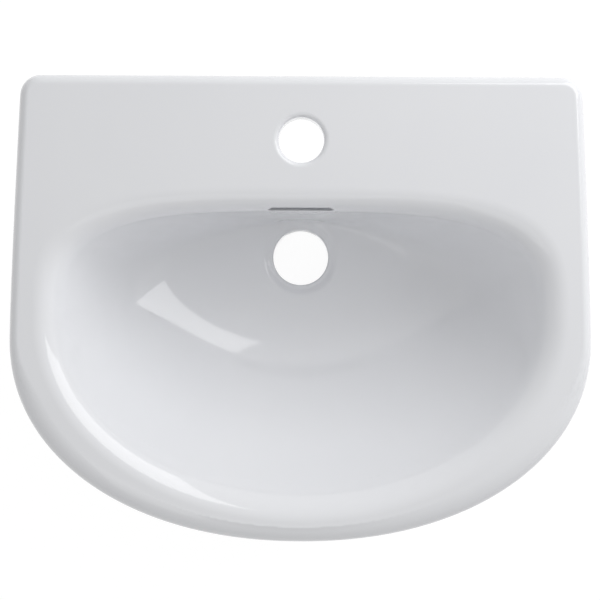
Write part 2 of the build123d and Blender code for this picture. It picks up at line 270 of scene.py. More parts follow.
@dataclass
class RimPlan:
    """The D-shaped outline of the rim: a straight back, bowed sides and a superellipse front."""

    widest: float = 225.0
    back_width: float = 217.0
    back_y: float = 50.0
    widest_y: float = -154.0
    front_y: float = -310.0
    corner: float = 16.0
    front_power: float = 2.12
    side_power: float = 1.25
    side_roll: float = 8.0
    front_roll: float = 17.0
    roll_run: float = 60.0
    past_middle: float = 20.0
    past_front: float = 0.12
    corner_samples: int = 24
    side_samples: int = 60
    front_samples: int = 150
    even_samples: int = 420
    smoothing_rounds: int = 3
    chunk: int = 20000
    path: Array = field(init=False)
    outward: Array = field(init=False)
    curve: Array = field(init=False)

    def __post_init__(self) -> None:
        """Samples the right half of the outline, from the middle of the back to that of the front.

        The side stands at widest - (widest - back_width) * share ** side_power, where share runs
        from 0 at the widest place to 1 at the back. The front follows
        |x / widest| ** n + |dy / depth| ** n = 1.
        """
        run = self.back_y - self.widest_y
        centre_y = self.back_y - self.corner
        centre_share = (centre_y - self.widest_y) / run
        fall = self.widest - self.back_width
        lean = math.atan2(fall * self.side_power * centre_share ** (self.side_power - 1.0), run)
        centre_x = self.widest - fall * centre_share**self.side_power - self.corner / math.cos(lean)
        back_x = np.linspace(-self.past_middle, centre_x, self.corner_samples, endpoint=False)
        back = np.stack([back_x, np.full_like(back_x, self.back_y)], 1)
        turn = np.linspace(math.pi / 2.0, lean, self.corner_samples, endpoint=False)
        centre = np.array([centre_x, centre_y])
        arc = centre + self.corner * np.stack([np.cos(turn), np.sin(turn)], 1)
        side_top = centre_y + self.corner * math.sin(lean)
        side_y = np.linspace(side_top, self.widest_y, self.side_samples, endpoint=False)
        share = (side_y - self.widest_y) / run
        side = np.stack([self.widest - fall * share**self.side_power, side_y], 1)
        turn = np.linspace(0.0, math.pi / 2.0 + self.past_front, self.front_samples)
        reach = 2.0 / self.front_power
        depth = self.widest_y - self.front_y
        front_x = self.widest * np.abs(np.cos(turn)) ** reach * np.sign(np.cos(turn))
        front = np.stack([front_x, self.widest_y - depth * np.sin(turn) ** reach], 1)
        rough = np.concatenate([back, arc, side, front])
        self.path, self.outward, self.curve = self._even(rough)

    def _even(self, rough: Array) -> tuple[Array, Array, Array]:
        """Spaces the samples evenly and works out the outward normal and the curvature at each."""
        length = np.concatenate([[0.0], np.cumsum(np.hypot(*np.diff(rough, axis=0).T))])
        even = np.linspace(0.0, length[-1], self.even_samples)
        path = np.stack([np.interp(even, length, rough[:, i]) for i in (0, 1)], 1)
        for _ in range(self.smoothing_rounds):
            path[1:-1] = 0.25 * path[:-2] + 0.5 * path[1:-1] + 0.25 * path[2:]
        along = np.gradient(path, even, axis=0)
        along /= np.hypot(along[:, 0], along[:, 1])[:, None]
        outward = np.stack([-along[:, 1], along[:, 0]], 1)
        bend = np.gradient(along, even, axis=0)
        curve = -(bend * outward).sum(1)
        return path, outward, np.maximum(curve, 0.0)

    def distance(self, x: Array, y: Array) -> tuple[Array, Array]:
        """Signed distance to the outline, and the y of the nearest place on it.

        Each point takes the nearest sample and measures to the circle that hugs the outline there,
        so the slope changes smoothly from one sample to the next.
        """
        flat = np.stack([np.abs(x).ravel(), np.broadcast_to(y, np.shape(x)).ravel()], 1)
        gap, near_y = np.empty(len(flat)), np.empty(len(flat))
        size = (self.path**2).sum(1)
        for start in range(0, len(flat), self.chunk):
            here = slice(start, start + self.chunk)
            part = flat[here]
            nearest = (size - 2.0 * part @ self.path.T).argmin(1)
            off = part - self.path[nearest]
            out = (off * self.outward[nearest]).sum(1)
            across = (off**2).sum(1)
            k = self.curve[nearest]
            w = 2.0 * out + k * across
            gap[here] = w / (1.0 + np.sqrt(np.maximum(1.0 + k * w, TINY)))
            near_y[here] = self.path[nearest, 1]
        return gap.reshape(np.shape(x)), near_y.reshape(np.shape(x))

    def roll(self, near_y: Array) -> Array:
        """Width of the rounding at the outer edge, which grows round the front."""
        share = smooth_step((self.widest_y - near_y) / self.roll_run)
        return self.side_roll + (self.front_roll - self.side_roll) * share


@dataclass
class BowlForm:
    """Level contours of the bowl: a superellipse at each height, wide at the front.

    Each pair runs from its value at the foot to its value at the top. The lip holds the depths of
    its rounding at the sides, the back and the front.
    """

    foot_z: float
    rise: float
    grow: float
    half_width: Pair = (34.0, 191.0)
    back: Pair = (-59.0, -54.0)
    front: Pair = (-122.0, -283.0)
    centre: Pair = (-92.0, -140.0)
    side_power: float = 0.28
    front_power: float = 0.53
    back_power: float = 0.40
    centre_power: float = 0.50
    back_roundness: float = 3.5
    lip: Triple = (16.0, 19.0, 12.0)
    level_step: float = 0.004
    halvings: int = 22
    shallow_from: float = 0.7
    shallow_over: float = 0.9

    def gap(self, x: Array, y: Array, level: Array) -> tuple[Array, Array]:
        """How far a point lies outside the contour at a level, and the lip's depth there.

        The contour in polar form is (|cos / half width| ** p + |sin / depth| ** p) ** (-1 / p),
        with p = 2 round the front and up to back_roundness at the back.
        """

        def between(ends: Pair, power: float) -> Array:
            """The value at the level, which runs between the ends as level ** power."""
            return ends[0] + (ends[1] - ends[0]) * level**power

        width = between(self.half_width, self.side_power) + self.grow
        middle = between(self.centre, self.centre_power)
        back = between(self.back, self.back_power) + self.grow - middle
        front = middle - between(self.front, self.front_power) + self.grow
        dy = y - middle
        behind = dy >= 0.0
        depth = np.where(behind, back, front)
        power = np.where(behind, 2.0 + (self.back_roundness - 2.0) * level, 2.0)
        reach = np.sqrt(x * x + dy * dy) + TINY
        side = (np.abs(x) / reach + 1e-9) ** power
        fore = (np.abs(dy) / reach + 1e-9) ** power
        radius = (side / width**power + fore / depth**power) ** (-1.0 / power)
        lip_depth = np.where(behind, self.lip[1], self.lip[2])
        spread = side / width ** (power + 1.0) * self.lip[0]
        spread = spread + fore / depth ** (power + 1.0) * lip_depth
        return reach - radius, radius ** (power + 1.0) * spread

    def level_at(self, z: Array) -> Array:
        """The level, from 0 at the foot to 1 at the top, of a height."""
        return np.clip((z - self.foot_z) / self.rise, 0.0, 1.0)

    def height(self, x: Array, y: Array) -> Array:
        """Height of the surface over a place in plan, found by halving."""
        low = np.zeros(np.broadcast(x, y).shape)
        high = np.ones_like(low)
        for _ in range(self.halvings):
            middle = 0.5 * (low + high)
            outside = self.gap(x, y, middle)[0] > 0.0
            low = np.where(outside, middle, low)
            high = np.where(outside, high, middle)
        level = np.where(low < TINY, 0.0, 0.5 * (low + high))
        return self.foot_z + self.rise * level

    def distance(self, x: Array, y: Array, z: Array, surface: Array) -> Array:
        """Signed distance, negative in the bowl.

        Steep walls are measured sideways, shallow ones and the floor upwards from surface, which
        is the height over each point; each is divided by the length of its slope.
        """
        level = self.level_at(z)
        gap = self.gap(x, y, level)[0]
        above = np.minimum(level + self.level_step, 1.0)
        below = np.maximum(level - self.level_step, 0.0)
        grown = self.gap(x, y, below)[0] - self.gap(x, y, above)[0]
        run = np.maximum(grown / ((above - below) * self.rise), 1e-3)
        size = np.sqrt(1.0 + run * run)
        share = smooth_step((run - self.shallow_from) / self.shallow_over)
        share = np.where(z < self.foot_z + 0.5, 1.0, share)
        upward = (surface - z) * np.where(z < self.foot_z, 1.0, run / size)
        return gap / size * (1.0 - share) + upward * share


@dataclass(frozen=True)
class Fillets:
    """Widths of the eased joins and edges between the casting's forms."""

    seat: float = 1.6
    pocket_corner: float = 4.0
    pocket_edge: float = 1.5
    shell: float = 9.0
    casing: float = 7.0
    casing_edge: float = 6.0
    boss: float = 4.0
    apron: float = 1.5
    shoulder: float = 1.2
    apron_room: float = 6.0
    apron_inside: float = 2.5
    relief: float = 1.0
    opening: float = 0.05
    recess_edge: float = 2.0
    recess: float = 2.2
    bore: float = 2.0
    slot: float = 0.9
    duct: float = 1.5
    plug_hole: float = 0.8


@dataclass
class BasinForm:
    """The whole casting as one signed distance: rim, bowl, apron, bosses, lugs and overflow."""

    plan: RimPlan = field(default_factory=RimPlan)
    fillets: Fillets = Fillets()
    deck_z: float = 20.0
    seat_z: float = 2.0
    pocket_z: float = 9.0
    seat_width: float = 20.0
    edge_drop: float = 12.0
    lip_drop: float = 20.0
    lip_power: float = 2.5
    foot_z: float = -96.0
    wall: float = 9.0
    tap_radius: float = 17.5
    tap_edge: float = 4.0
    tap_boss_radius: float = 26.5
    tap_boss_z: float = -4.0
    waste_y: float = -88.0
    waste_radius: float = 22.75
    recess_radius: float = 33.5
    recess_z: float = -95.0
    recess_depth: float = 4.0
    recess_slope: float = 0.9
    throat_radius: float = 24.75
    boss_radius: float = 34.75
    base_z: float = -135.0
    slot_half: float = 25.0
    slot_height: float = 9.0
    slot_z: float = 6.5
    sill_y: float = -53.5
    sill_fall: float = 0.9
    sill_run: float = 9.0
    slot_front_y: float = -70.0
    duct_y: Pair = (-43.0, -31.0)
    duct_z: Pair = (-120.0, 13.5)
    port_half: float = 12.0
    port_top: float = -110.0
    casing_y: Pair = (-54.0, -23.0)
    casing_half: Pair = (20.0, 33.0)
    casing_z: Pair = (-128.0, 10.0)
    apron_y: float = -150.0
    apron_z: float = -45.0
    apron_step: float = 3.0
    apron_draft: float = 3.0
    apron_wall: float = 10.0
    apron_roll: float = 5.0
    web: float = 10.0
    relief: float = 4.0
    land_x: float = 192.0
    lug_radius: float = 13.0
    lug_drop: float = 20.0
    plug_radius: float = 6.0
    plug_depth: float = 24.0
    side_lug: Pair = (172.048, -15.0)
    rear_lug: Pair = (95.0, 2.0)
    shell_under_deck: float = 5.0
    tap_boss_under_deck: float = 4.0
    lug_under_deck: float = 6.0
    casing_rise: float = 4.0
    overlap: float = 1.0
    slot_overlap: float = 2.0
    bare_seats: Triple = (0.8, 1.2, 0.8)
    bare_from: float = 0.75
    bare_over: float = 0.15
    hollow: BowlForm = field(init=False)
    shell: BowlForm = field(init=False)

    def __post_init__(self) -> None:
        """Makes the inner and the outer face of the bowl from the same contours."""
        rise = self.deck_z - self.foot_z
        self.hollow = BowlForm(self.foot_z, rise, 0.0)
        self.shell = BowlForm(self.foot_z - self.wall, rise + self.wall, self.wall)

    def distance(
        self,
        x: Array,
        y: Array,
        z: Array,
        plan: tuple[Array, Array] | None = None,
        heights: tuple[Array, Array] | None = None,
    ) -> Array:
        """Signed distance to the casting, for x at or right of the middle.

        Args:
            x, y, z: Places in millimetres, as arrays that fit each other.
            plan: The outline's distance and nearest y at those places, if they are known.
            heights: The heights of the hollow and of the shell there, if they are known.

        Returns:
            The distance, negative in the ceramic.
        """
        edge, near_y = plan if plan else self.plan.distance(x, y)
        inner, outer = heights if heights else (self.hollow.height(x, y), self.shell.height(x, y))
        fillets = self.fillets
        up = z - self.deck_z
        block = rounded_corner(up, edge, self.edge_drop, self.plan.roll(near_y))
        rim = soft_meet(block, self.seat_z - z, fillets.seat)
        pocket = soft_meet(z - self.pocket_z, edge + self.seat_width, fillets.pocket_corner)
        rim = soft_cut(rim, pocket, fillets.pocket_edge)
        shell = np.maximum(self.shell.distance(x, y, z, outer), up + self.shell_under_deck)
        body = soft_union(rim, shell, fillets.shell)
        body = soft_union(body, self._casing(x, y, z), fillets.casing)
        body = soft_union(body, self._bosses(x, y, z), fillets.boss)
        body = soft_union(body, self._apron(x, y, z, edge), fillets.apron)
        body = soft_cut(body, self._opening(x, y, z, inner), fillets.opening)
        return soft_cut(body, self._blind_holes(x, y, z), fillets.plug_hole)

    def _casing(self, x: Array, y: Array, z: Array) -> Array:
        """The closed overflow channel's outside, which narrows downwards."""
        share = (z - self.casing_z[0]) / (self.casing_z[1] - self.casing_z[0])
        half = self.casing_half[0] + (self.casing_half[1] - self.casing_half[0]) * share
        low = (-half, self.casing_y[0], self.casing_z[0])
        high = (half, self.casing_y[1], self.casing_z[1] + self.casing_rise)
        return box_distance(x, y, z, low, high, self.fillets.casing_edge)

    def _bosses(self, x: Array, y: Array, z: Array) -> Array:
        """The tap boss, the waste boss and the clamp lugs."""
        tap_top = self.deck_z - self.tap_boss_under_deck
        waste_top = self.foot_z + self.overlap
        lug_top = self.deck_z - self.lug_under_deck
        posts = (
            ((0.0, 0.0), self.tap_boss_radius, self.tap_boss_z, tap_top),
            ((0.0, self.waste_y), self.boss_radius, self.base_z, waste_top),
            (self.side_lug, self.lug_radius, -self.lug_drop, lug_top),
            (self.rear_lug, self.lug_radius, -self.lug_drop, lug_top),
        )
        made = [post_distance(x, y, z, *post) for post in posts]
        return np.minimum(np.minimum(made[0], made[1]), np.minimum(made[2], made[3]))

    def _blind_holes(self, x: Array, y: Array, z: Array) -> Array:
        """The lugs' holes for the fixing plugs."""
        size = (self.plug_radius, -2.0 * self.lug_drop, self.plug_depth - self.lug_drop)
        lugs = (self.side_lug, self.rear_lug)
        return np.minimum(*(post_distance(x, y, z, lug, *size) for lug in lugs))

    def _apron(self, x: Array, y: Array, z: Array, edge: Array) -> Array:
        """The downstand round the front, and the webs whose rear faces are the shoulders."""
        drop = self.seat_z - self.apron_z - self.apron_roll
        share = np.clip((self.seat_z - z) / drop, 0.0, 1.0)
        face = edge + self.apron_step + self.apron_draft * share
        block = rounded_corner(self.apron_z - z, face, self.apron_roll, self.apron_roll)
        block = soft_meet(block, y - self.apron_y, self.fillets.shoulder)
        block = np.maximum(block, z - self.pocket_z - self.overlap)
        inside = edge + self.apron_step + self.apron_draft + self.apron_wall
        room = soft_meet(inside, y - self.apron_y + self.web, self.fillets.apron_room)
        relief = np.maximum(np.abs(x) - self.land_x, self.apron_y - self.relief - y)
        block = soft_cut(block, room, self.fillets.apron_inside)
        return soft_cut(block, relief, self.fillets.relief)

    def _opening(self, x: Array, y: Array, z: Array, inner: Array) -> Array:
        """All that is cut from the top: hollow with its lip, waste, overflow and tap hole."""
        gap, depth = self.hollow.gap(x, y, self.hollow.level_at(z))
        lip = -rounded_corner(z - self.deck_z, -gap, self.lip_drop, depth, self.lip_power)
        wall = self.hollow.distance(x, y, z, inner)
        made = np.where(z > self.deck_z - self.lip_drop, lip, wall)
        made = self._waste(made, x, y, z)
        made = soft_union(made, self._slot(x, y, z), self.fillets.slot)
        made = np.minimum(made, self._duct(x, y, z))
        from_tap = np.hypot(x, y)
        off = self.tap_radius - from_tap
        tap = -rounded_corner(z - self.deck_z, off, self.tap_edge, self.tap_edge)
        return np.minimum(made, np.where(z > self.deck_z - self.tap_edge, tap, -off))

    def _waste(self, hollow: Array, x: Array, y: Array, z: Array) -> Array:
        """The hollow with the dished recess and the bore of the waste hole."""
        from_waste = np.hypot(x, y - self.waste_y)
        share = (from_waste - self.throat_radius) / (self.recess_radius - self.throat_radius)
        dish_z = self.recess_z - self.recess_depth * (1.0 - smooth_step(share))
        side, edge = from_waste - self.recess_radius, self.fillets.recess_edge
        recess = soft_meet(side, (dish_z - z) * self.recess_slope, edge)
        recess = soft_meet(recess, z - self.recess_z - self.recess_depth, edge)
        bore = np.maximum(from_waste - self.waste_radius, z - self.recess_z)
        made = soft_union(hollow, recess, self.fillets.recess)
        return soft_union(made, bore, self.fillets.bore)

    def _slot(self, x: Array, y: Array, z: Array) -> Array:
        """The overflow slot, whose sill falls away behind the bowl's wall."""
        end = np.maximum(np.abs(x) - (self.slot_half - self.slot_height / 2.0), 0.0)
        sink = self.sill_fall * np.clip(y - self.sill_y, 0.0, self.sill_run)
        off = z - self.slot_z
        off = np.where(off < 0.0, np.minimum(off + sink, 0.0), off)
        slot = np.hypot(end, off) - self.slot_height / 2.0
        slot = np.maximum(slot, y - self.duct_y[0] - self.slot_overlap)
        return np.maximum(slot, self.slot_front_y - y)

    def _duct(self, x: Array, y: Array, z: Array) -> Array:
        """The channel from the slot down to the port in the waste hole's bore."""
        share = (z - self.duct_z[0]) / (self.duct_z[1] - self.duct_z[0])
        half = self.port_half + (self.slot_half - self.port_half) * share
        low = (-half, self.duct_y[0], self.duct_z[0])
        high = (half, self.duct_y[1], self.duct_z[1])
        duct = box_distance(x, y, z, low, high, self.fillets.duct)
        low = (-self.port_half, self.waste_y, self.duct_z[0])
        high = (self.port_half, self.duct_y[1], self.port_top)
        return np.minimum(duct, box_distance(x, y, z, low, high, self.fillets.duct))

    def bare(self, points: Array, normals: Array) -> Array:
        """Share from 0 to 1 of bare biscuit: the seat, the boss's foot and the lugs' faces."""
        down = smooth_step((-normals[:, 2] - self.bare_from) / self.bare_over)
        levels = zip((self.seat_z, self.base_z, -self.lug_drop), self.bare_seats)
        faces = sum(np.exp(-(((points[:, 2] - level) / spread) ** 2)) for level, spread in levels)
        return down * np.clip(faces, 0.0, 1.0)


# Meshes


def surface_net(values: Array, origin: Array, step: float) -> tuple[Array, Array]:
    """The surface where a field on a regular grid is zero.

    Each cell that the surface crosses gets one vertex, the mean of the crossings on its twelve
    edges; each grid edge with a change of sign gets one four-sided face from the cells round it.

    Args:
        values: The field, negative inside, on a grid of x, y and z, positive at its borders.
        origin: The grid's first point.
        step: The grid's spacing.

    Returns:
        The vertices and the four-sided faces, with normals outward.
    """
    inside = values < 0.0
    nx, ny, nz = values.shape
    count = np.zeros((nx - 1, ny - 1, nz - 1), np.int8)
    for i, j, k in product((0, 1), repeat=3):
        count += inside[i : nx - 1 + i, j : ny - 1 + j, k : nz - 1 + k]
    active = (count > 0) & (count < 8)
    cells = np.argwhere(active)
    number = np.full(active.shape, -1, np.int64)
    number[active] = np.arange(len(cells))
    total, hits = np.zeros((len(cells), 3)), np.zeros(len(cells))
    for axis in range(3):
        unit = np.eye(3, dtype=int)[axis]
        others = [np.eye(3, dtype=int)[a] for a in range(3) if a != axis]
        for u, v in product((0, 1), repeat=2):
            start = cells + u * others[0] + v * others[1]
            first = values[tuple(start.T)]
            second = values[tuple((start + unit).T)]
            crossed = (first < 0.0) != (second < 0.0)
            share = np.where(crossed, first / np.where(crossed, first - second, 1.0), 0.0)
            total += np.where(crossed[:, None], start + share[:, None] * unit, 0.0)
            hits += crossed
    faces = []
    for axis in range(3):
        unit, u, v = (np.eye(3, dtype=int)[(axis + a) % 3] for a in range(3))
        ahead = np.take(inside, np.arange(1, inside.shape[axis]), axis)
        behind = np.take(inside, np.arange(0, inside.shape[axis] - 1), axis)
        edges = np.argwhere(ahead != behind)
        round_edge = [edges - u - v, edges - v, edges, edges - u]
        quads = np.stack([number[tuple(c.T)] for c in round_edge], 1)
        leaving = behind[tuple(edges.T)]
        faces.append(np.where(leaving[:, None], quads, quads[:, ::-1]))
    return origin + step * total / hits[:, None], np.concatenate(faces)


def slope_of(form: Callable[[Array], Array], points: Array, reach: float) -> Array:
    """The slope of a field at points, from its values a little to each side."""
    slope = np.empty_like(points)
    for axis in range(3):
        off = np.eye(3)[axis] * reach
        slope[:, axis] = (form(points + off) - form(points - off)) / (2.0 * reach)
    return slope


def settle(
    form: Callable[[Array], Array], points: Array, reach: float, rounds: int, limit: float
) -> Array:
    """Moves points down the slope of a field until they lie on its zero surface.

    Args:
        form: The field.
        points: Points near its zero surface.
        reach: How far to each side the slope is measured.
        rounds: How many times each point moves.
        limit: The longest move.

    Returns:
        The moved points.
    """
    for _ in range(rounds):
        slope = slope_of(form, points, reach)
        size = np.maximum((slope**2).sum(1), 0.04)
        move = (form(points) / size)[:, None] * slope
        length = np.sqrt((move**2).sum(1))[:, None]
        points = points - move * np.minimum(1.0, limit / np.maximum(length, 1e-9))
    return points


def make_mesh(name: str, points: Array, faces: Array, smooth: bool = True) -> bpy.types.Object:
    """Makes an object from points in metres and faces of equal length."""
    mesh = bpy.data.meshes.new(name)
    mesh.vertices.add(len(points))
    mesh.vertices.foreach_set("co", np.ascontiguousarray(points, np.float32).ravel())
    sides = faces.shape[1]
    mesh.loops.add(faces.size)
    mesh.loops.foreach_set("vertex_index", np.ascontiguousarray(faces, np.int32).ravel())
    mesh.polygons.add(len(faces))
    mesh.polygons.foreach_set("loop_start", np.arange(0, faces.size, sides, dtype=np.int32))
    mesh.polygons.foreach_set("use_smooth", np.full(len(faces), smooth))
    mesh.update(calc_edges=True)
    mesh.validate()
    made = bpy.data.objects.new(name, mesh)
    bpy.context.scene.collection.objects.link(made)
    return made


def points_of(mesh: bpy.types.Mesh) -> Array:
    """The vertices of a mesh."""
    flat = np.empty(3 * len(mesh.vertices), np.float32)
    mesh.vertices.foreach_get("co", flat)
    return flat.reshape(-1, 3).astype(float)


def thin(made: bpy.types.Object, most: int) -> None:
    """Takes triangles out where a mesh is flat until it has no more than most."""
    triangles = sum(len(p.vertices) - 2 for p in made.data.polygons)
    if triangles <= most:
        return
    modifier = made.modifiers.new("thin", "DECIMATE")
    modifier.ratio = most / triangles
    shape = bpy.context.evaluated_depsgraph_get()
    shape.update()
    mesh = bpy.data.meshes.new_from_object(made.evaluated_get(shape))
    made.modifiers.clear()
    old = made.data
    made.data = mesh
    bpy.data.meshes.remove(old)


def ring_faces(rows: int, columns: int) -> Array:
    """Four-sided faces between rows of closed rings of vertices, numbered row by row."""
    r, c = (a.ravel() for a in np.meshgrid(np.arange(rows - 1), np.arange(columns), indexing="ij"))
    r2, c2 = r + 1, (c + 1) % columns
    return np.stack([r * columns + c, r * columns + c2, r2 * columns + c2, r2 * columns + c], 1)


def closed_tube(rings: Array) -> tuple[Array, Array]:
    """Joins rings of points into a closed surface, with one more point in the middle of each end.

    Args:
        rings: Rows of rings of points; seen from the last ring they run anticlockwise.

    Returns:
        The points and the triangles.
    """
    rows, columns, _ = rings.shape
    quads = ring_faces(rows, columns)
    c = np.arange(columns)
    after = (c + 1) % columns
    first, last = rows * columns, rows * columns + 1
    top = (rows - 1) * columns
    start = np.stack([np.full(columns, first), after, c], 1)
    end = np.stack([np.full(columns, last), top + c, top + after], 1)
    points = np.concatenate([rings.reshape(-1, 3), rings[:1].mean(1), rings[-1:].mean(1)])
    return points, np.concatenate([quads[:, [0, 1, 2]], quads[:, [0, 2, 3]], start, end])


def unit(vectors: Array) -> Array:
    """Vectors of length 1."""
    return vectors / np.maximum(np.sqrt((vectors**2).sum(1))[:, None], 1e-9)


def set_normals(mesh: bpy.types.Mesh, normals: Array) -> None:
    """Gives each vertex of a mesh its normal."""
    mesh.normals_split_custom_set_from_vertices(unit(normals).tolist())


@dataclass
class Block:
    """A form's mesh in its own frame, in millimetres, with the form's slopes as its normals."""

    points: Array
    faces: Array
    normals: Array

    @classmethod
    def of(
        cls,
        form: Callable[[Array], Array],
        low: Sequence[float],
        high: Sequence[float],
        step: float,
    ) -> "Block":
        """Meshes the zero surface of a form within a box.

        Args:
            form: Signed distance of an array of points.
            low: The box's lowest corner, outside the form.
            high: Its highest corner.
            step: Spacing of the grid.

        Returns:
            The meshed form.
        """
        axes = [np.arange(a, b + step, step) for a, b in zip(low, high)]
        grid = np.stack(np.meshgrid(*axes, indexing="ij"), -1)
        values = form(grid.reshape(-1, 3)).reshape(grid.shape[:3])
        points, faces = surface_net(values, np.array(low, float), step)
        reach = step * 0.2
        points = settle(form, points, reach, 3, step * 0.5)
        return cls(points, faces, slope_of(form, points, reach))

    def placed(self, name: str, at: Sequence[float], heading: float) -> bpy.types.Object:
        """Makes an object of the block, turned about +Z by heading degrees and moved to at."""
        cosine, sine = math.cos(math.radians(heading)), math.sin(math.radians(heading))
        turn = np.array([[cosine, sine, 0.0], [-sine, cosine, 0.0], [0.0, 0.0, 1.0]])
        made = make_mesh(name, (self.points @ turn + np.array(at)) * MM, self.faces)
        set_normals(made.data, self.normals @ turn)
        return made


# Finishes


class Slot(Enum):
    """The record's material slots."""

    GLAZE = "glaze"
    FOAM = "foam"
    NYLON = "nylon"
    ZINC = "zinc_steel"
    RUBBER = "rubber"


@dataclass(frozen=True)
class Glaze:
    """White glaze over vitreous china, with bare biscuit where the casting stands in the kiln."""

    colour: Colour = (0.890, 0.898, 0.922)
    pooled: Colour = (0.872, 0.881, 0.908)
    biscuit: Colour = (0.74, 0.70, 0.63)
    roughness: float = 0.07
    biscuit_roughness: float = 0.85
    wave: float = 0.00012
    grit: float = 0.00005
    cloud_cells: float = 9.0
    wave_cells: float = 26.0
    sheen_cells: float = 60.0
    grit_cells: float = 700.0
    speck_cells: float = 1400.0

    def material(self) -> bpy.types.Material:
        """Glaze that clouds a little, with slow waves, and gritty biscuit where it is bare."""
        graph = Graph.of_material("glaze")
        bare = graph.number(graph.node("Attribute", {"attribute_name": "bare"}).outputs["Fac"])
        cloud = (graph.noise(self.cloud_cells, 3.0) * 2.2 - 0.6).clamped()
        speck = (graph.noise(self.speck_cells, 1.0) * 2.0 - 0.5).clamped()
        tone = graph.blend(cloud, self.colour, self.pooled)
        biscuit = graph.blend(speck, self.biscuit, tuple(0.86 * v for v in self.biscuit))
        waves = graph.noise(self.wave_cells, 1.0) * self.wave
        waves = waves + graph.noise(self.grit_cells, 1.0) * bare * self.grit
        rough = bare * (self.biscuit_roughness - self.roughness)
        rough = rough + graph.noise(self.sheen_cells) * 0.02 + (self.roughness - 0.01)
        return graph.finish(
            Base_Color=graph.blend(bare, tone, biscuit),
            Roughness=rough,
            IOR=1.5,
            Coat_Weight=(1 - bare) * 0.25,
            Coat_Roughness=0.03,
            Normal=graph.bump(waves, 1.0),
        )


@dataclass(frozen=True)
class Zinc:
    """Bright zinc plating on pressed and rolled steel."""

    colour: Colour = (0.66, 0.67, 0.69)
    dulled: Colour = (0.47, 0.48, 0.50)
    roughness: float = 0.30
    cloud_cells: float = 160.0
    mark_cells: float = 2500.0

    def material(self) -> bpy.types.Material:
        """Metal with dulled clouds and fine marks from pressing."""
        graph = Graph.of_material("zinc_plate")
        cloud = (graph.noise(self.cloud_cells, 4.0) * 3.0 - 1.0).clamped()
        marks = graph.noise(self.mark_cells, 2.0, (1.0, 1.0, 0.12))
        return graph.finish(
            Base_Color=graph.blend(cloud, self.colour, self.dulled),
            Metallic=1.0,
            Roughness=cloud * 0.16 + marks * 0.10 + self.roughness - 0.05,
            Normal=graph.bump(marks, 0.00003, 0.6),
        )


@dataclass(frozen=True)
class Nylon:
    """Natural moulded nylon."""

    colour: Colour = (0.78, 0.76, 0.68)
    shade: Colour = (0.70, 0.67, 0.58)
    roughness: float = 0.42
    flow_cells: float = 90.0
    skin_cells: float = 3000.0

    def material(self) -> bpy.types.Material:
        """Slightly waxy plastic with flow clouds and a fine moulded skin."""
        graph = Graph.of_material("natural_nylon")
        flow = (graph.noise(self.flow_cells, 3.0, (1.0, 1.0, 0.3)) * 2.4 - 0.7).clamped()
        skin = graph.noise(self.skin_cells, 1.0)
        return graph.finish(
            Base_Color=graph.blend(flow, self.colour, self.shade),
            Roughness=flow * 0.10 + self.roughness,
            Subsurface_Weight=0.15,
            Subsurface_Radius=(0.002, 0.0016, 0.001),
            Normal=graph.bump(skin, 0.00002, 0.5),
        )


@dataclass(frozen=True)
class Rubber:
    """Black moulded rubber."""

    colour: Colour = (0.026, 0.026, 0.028)
    bloom: Colour = (0.060, 0.060, 0.062)
    roughness: float = 0.62
    bloom_cells: float = 220.0
    grain_cells: float = 4000.0

    def material(self) -> bpy.types.Material:
        """Matte rubber with a faint grey bloom and a fine grain."""
        graph = Graph.of_material("black_rubber")
        bloom = (graph.noise(self.bloom_cells, 4.0) * 2.6 - 0.9).clamped()
        grain = graph.noise(self.grain_cells)
        return graph.finish(
            Base_Color=graph.blend(bloom, self.colour, self.bloom),
            Roughness=bloom * 0.15 + self.roughness,
            Normal=graph.bump(grain, 0.00004, 0.6),
        )


@dataclass(frozen=True)
class Foam:
    """Pale closed-cell foam."""

    colour: Colour = (0.62, 0.62, 0.61)
    # The cell colour is painted shade: the darker tone put in the middles of the cells' pits.
    cell: Colour = (0.50, 0.50, 0.49)
    cells: float = 1600.0

    def material(self) -> bpy.types.Material:
        """Small closed cells, deeper at their middles, with painted shade that darkens those
        middles.
        """
        graph = Graph.of_material("closed_cell_foam")
        cells = graph.node("TexVoronoi", None, Vector=graph.place(), Scale=self.cells)
        depth = (graph.number(cells.outputs["Distance"]) * 1.6).clamped()
        return graph.finish(
            # Painted shade: the cells' middles, where the bump makes pits, take the darker cell
            # colour.
            Base_Color=graph.blend(depth, self.cell, self.colour),
            Roughness=depth * 0.1 + 0.8,
            Normal=graph.bump(depth, 0.0001, 0.8),
        )


FINISHES = {
    Slot.GLAZE: Glaze(),
    Slot.FOAM: Foam(),
    Slot.NYLON: Nylon(),
    Slot.ZINC: Zinc(),
    Slot.RUBBER: Rubber(),
}


class Dresser:
    """Gives pieces their materials and hangs them on their bodies."""

    def __init__(self) -> None:
        """Makes each finish's material once."""
        self.materials = {slot: finish.material() for slot, finish in FINISHES.items()}

    def carried(self, node: str, slot: Slot) -> None:
        """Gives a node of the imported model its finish."""
        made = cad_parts[node]
        if not made.material_slots:
            made.data.materials.append(None)
        for place in made.material_slots:
            place.material = self.materials[slot]
        LOG.info("%s keeps its shape and gets %s", node, slot.value)

    def new(self, made: bpy.types.Object, body: str, slot: Slot, *nodes: str) -> None:
        """Finishes a new piece that rides on body and stands for nodes."""
        made.data.materials.append(self.materials[slot])
        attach(made, body)
        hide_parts(*nodes)
        LOG.info("%s: %d faces on %s", made.name, len(made.data.polygons), body)


# Sub-assemblies


